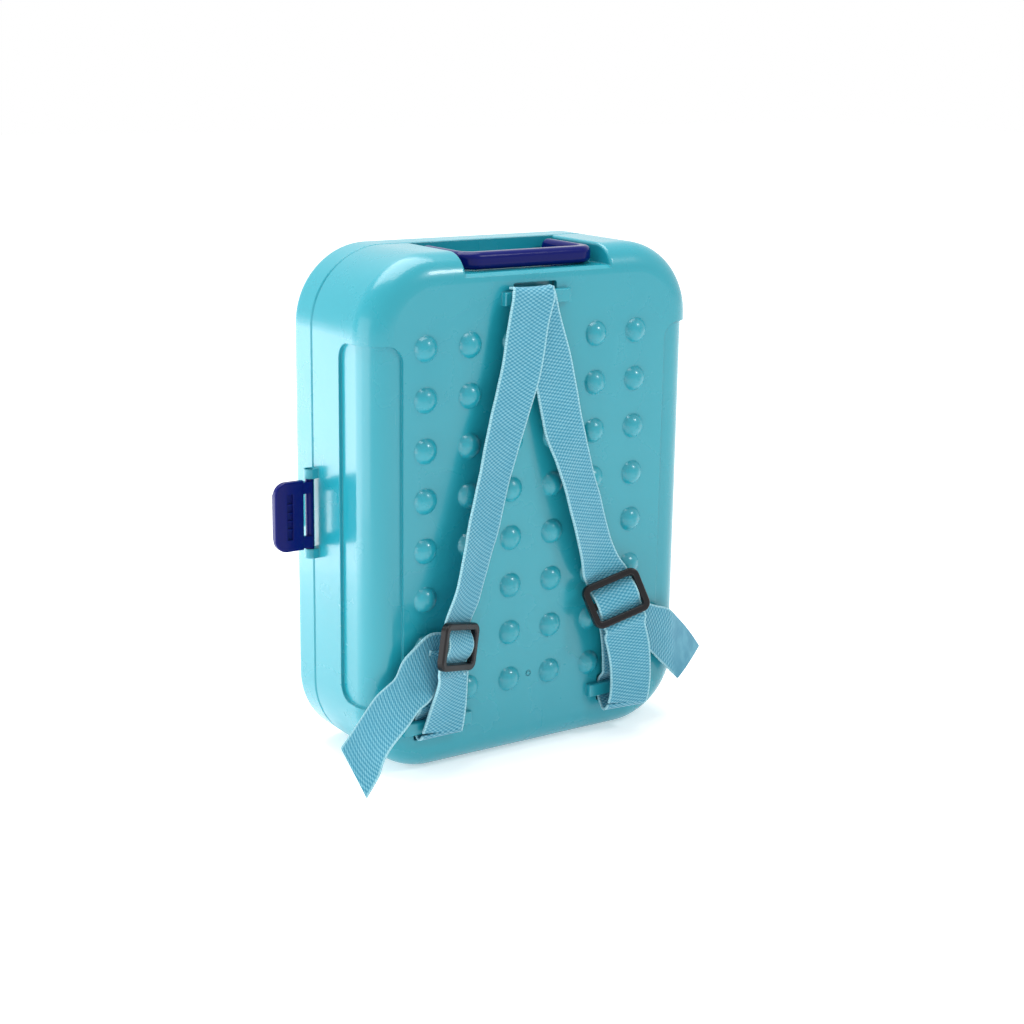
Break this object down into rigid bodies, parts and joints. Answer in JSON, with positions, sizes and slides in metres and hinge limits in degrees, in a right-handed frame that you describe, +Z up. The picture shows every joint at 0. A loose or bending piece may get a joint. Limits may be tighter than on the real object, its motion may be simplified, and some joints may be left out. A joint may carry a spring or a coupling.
{
  "type": "toy pet grooming set in a backpack case",
  "caption": "Moulded toy backpack case with a domed back panel, webbing shoulder straps, folding handle, side latch, hinged lid and a tray of toy grooming tools inside",
  "frame": {"origin": "the middle of the flat base that the case stands on, halfway between the back panel and the lid's front", "axes": "+Z up, -Y out of the back panel with its bumps and straps, +Y out of the lid, -X to the latch side, +X to the hinge side"},
  "size_m": [0.2439, 0.1073, 0.271],
  "materials": {
    "case_plastic": "glossy moulded turquoise plastic",
    "navy_plastic": "glossy deep blue, slightly see-through plastic",
    "webbing": "light blue woven webbing with a slight sheen",
    "buckle_plastic": "satin black moulded plastic",
    "tray_plastic": "white formed plastic",
    "steel": "plain steel",
    "coral_plastic": "glossy coral plastic",
    "yellow_plastic": "glossy yellow plastic",
    "white_plastic": "glossy white plastic"
  },
  "bodies": {
    "root": {"rear_shell": "case_plastic", "hinge_pin_lower": "steel", "hinge_pin_upper": "steel", "strap_top_loop": "webbing", "strap_left_upper": "webbing", "strap_left_lower": "webbing", "strap_left_return": "webbing", "strap_left_loop": "webbing", "strap_left_tail": "webbing", "strap_right_upper": "webbing", "strap_right_lower": "webbing", "strap_right_return": "webbing", "strap_right_loop": "webbing", "strap_right_tail": "webbing", "insert_tray": "tray_plastic", "tray_screws": "steel", "comb": "coral_plastic", "brush_body": "coral_plastic", "brush_pins": "white_plastic", "scissors_blade_fixed": "yellow_plastic", "scissors_rivet": "white_plastic", "dryer_body": "coral_plastic", "dryer_nozzle": "navy_plastic", "dryer_grille": "navy_plastic", "bottle_body": "white_plastic", "spray_head": "coral_plastic"},
    "lid": {"front_shell": "case_plastic"},
    "handle": {"handle": "navy_plastic"},
    "latch": {"latch": "navy_plastic"},
    "left_slider": {"buckle_left": "buckle_plastic"},
    "right_slider": {"buckle_right": "buckle_plastic"},
    "scissors_half": {"scissors_blade_moving": "yellow_plastic"},
    "trigger": {"spray_trigger": "yellow_plastic"},
    "switch": {"dryer_switch": "yellow_plastic"}
  },
  "joints": [
    {"name": "lid_hinge", "type": "hinge", "parent": "root", "child": "lid", "pos_m": [0.1062, 0.0174, 0.1355], "axis": [0, 0, -1], "range_deg": [0, 175]},
    {"name": "handle_swing", "type": "hinge", "parent": "root", "child": "handle", "pos_m": [0, 0.008, 0.2656], "axis": [-1, 0, 0], "range_deg": [0, 100]},
    {"name": "latch_swing", "type": "hinge", "parent": "root", "child": "latch", "pos_m": [-0.1063, 0.0144, 0.134], "axis": [0, 0, -1], "range_deg": [-15, 90]},
    {"name": "buckle_left_slide", "type": "slide", "parent": "root", "child": "left_slider", "axis": [0.2681, 0, 0.9634], "range_m": [-0.015, 0.045], "deforming": ["strap_left_upper", "strap_left_lower", "strap_left_return", "strap_left_tail"]},
    {"name": "buckle_right_slide", "type": "slide", "parent": "root", "child": "right_slider", "axis": [-0.3099, 0, 0.9508], "range_m": [-0.026, 0.034], "deforming": ["strap_right_upper", "strap_right_lower", "strap_right_return", "strap_right_tail"]},
    {"name": "scissors_pivot", "type": "hinge", "parent": "root", "child": "scissors_half", "pos_m": [0.022, -0.0136, 0.098], "axis": [0, 1, 0], "range_deg": [0, 20]},
    {"name": "trigger_swing", "type": "hinge", "parent": "root", "child": "trigger", "pos_m": [0.0535, -0.0037, 0.11], "axis": [0, -1, 0], "range_deg": [0, 18], "stiffness_Nm_per_rad": 0.02},
    {"name": "switch_slide", "type": "slide", "parent": "root", "child": "switch", "axis": [0, 0, 1], "range_m": [0, 0.004]}
  ]
}
